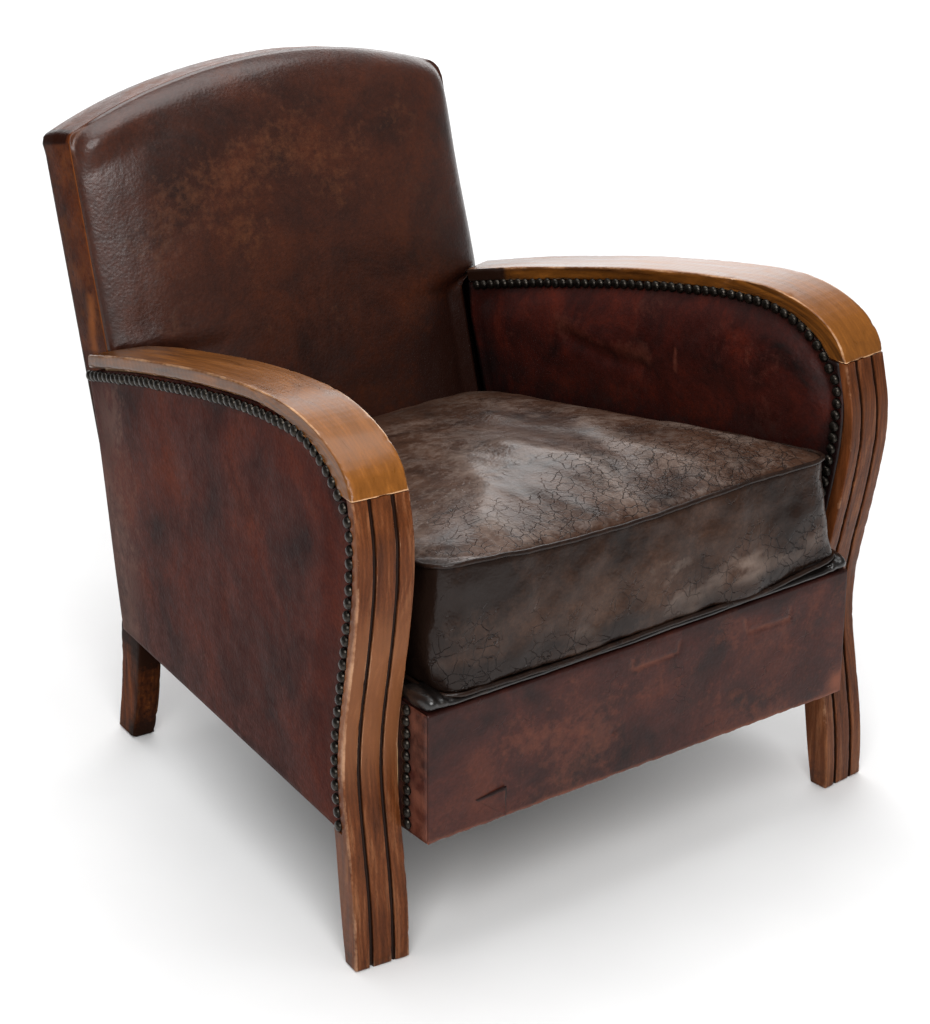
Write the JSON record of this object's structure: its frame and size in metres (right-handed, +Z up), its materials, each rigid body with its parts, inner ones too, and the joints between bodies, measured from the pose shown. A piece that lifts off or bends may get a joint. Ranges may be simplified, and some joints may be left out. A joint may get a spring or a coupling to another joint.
{
  "type": "club chair",
  "caption": "Worn low leather armchair with bent wooden arm caps, reeded front posts, dome nail trim, an arched raked back and a loose welted seat cushion",
  "frame": {"origin": "on the floor, under the middle of the chair's bounding box", "axes": "+X to the right of someone who faces the chair's front, +Y to the rear, +Z up; the front faces -Y"},
  "size_m": [0.6626, 0.7555, 0.7245],
  "materials": {
    "cap_wood": "waxed stained beech, worn at the edges",
    "post_wood": "stained beech, satin",
    "frame_wood": "raw sawn beech",
    "outer_leather": "worn dark red-brown, satin",
    "inner_leather": "worn ox-blood, satin",
    "back_leather": "glossy dark brown with rubbed tan patches",
    "cushion_leather": "dark brown, crazed glaze",
    "black_leather": "black, satin",
    "nail_bronze": "antique dark",
    "jute": "woven jute",
    "stuffing": "fibre stuffing",
    "spring_steel": "drawn wire",
    "black_cotton": "plain weave"
  },
  "bodies": {
    "root": {"apron_cover": "outer_leather", "apron_nails_left": "nail_bronze", "apron_nails_right": "nail_bronze", "arm_cap_left": "cap_wood", "arm_cap_right": "cap_wood", "arm_stuffing_left": "stuffing", "arm_stuffing_right": "stuffing", "arm_tacking_rail_left": "frame_wood", "arm_tacking_rail_right": "frame_wood", "arm_top_rail_left": "frame_wood", "arm_top_rail_right": "frame_wood", "back_boxing": "back_leather", "back_flap_left": "back_leather", "back_flap_right": "back_leather", "back_front_panel": "back_leather", "back_low_rail": "frame_wood", "back_outer_panel": "outer_leather", "back_stile_left": "frame_wood", "back_stile_right": "frame_wood", "back_stuffing": "stuffing", "back_top_rail": "frame_wood", "back_webbing": "jute", "cushion_lower_welt": "cushion_leather", "cushion_upper_welt": "cushion_leather", "dust_cover": "black_cotton", "front_post_left": "post_wood", "front_post_right": "post_wood", "front_seat_rail": "frame_wood", "inner_nails_left": "nail_bronze", "inner_nails_right": "nail_bronze", "inner_panel_left": "inner_leather", "inner_panel_right": "inner_leather", "outer_nails_left": "nail_bronze", "outer_nails_right": "nail_bronze", "outer_panel_left": "outer_leather", "outer_panel_right": "outer_leather", "outer_wadding_left": "stuffing", "outer_wadding_right": "stuffing", "rear_leg_left": "post_wood", "rear_leg_right": "post_wood", "rear_seat_rail": "frame_wood", "seat_cushion": "cushion_leather", "seat_deck": "black_leather", "seat_lip": "black_leather", "seat_spring_1": "spring_steel", "seat_spring_2": "spring_steel", "seat_spring_3": "spring_steel", "seat_spring_4": "spring_steel", "seat_spring_5": "spring_steel", "seat_spring_6": "spring_steel", "seat_spring_7": "spring_steel", "seat_spring_8": "spring_steel", "seat_spring_9": "spring_steel", "seat_stuffing": "stuffing", "seat_webbing": "jute", "side_seat_rail_left": "frame_wood", "side_seat_rail_right": "frame_wood", "spring_hessian": "jute"}
  },
  "joints": []
}
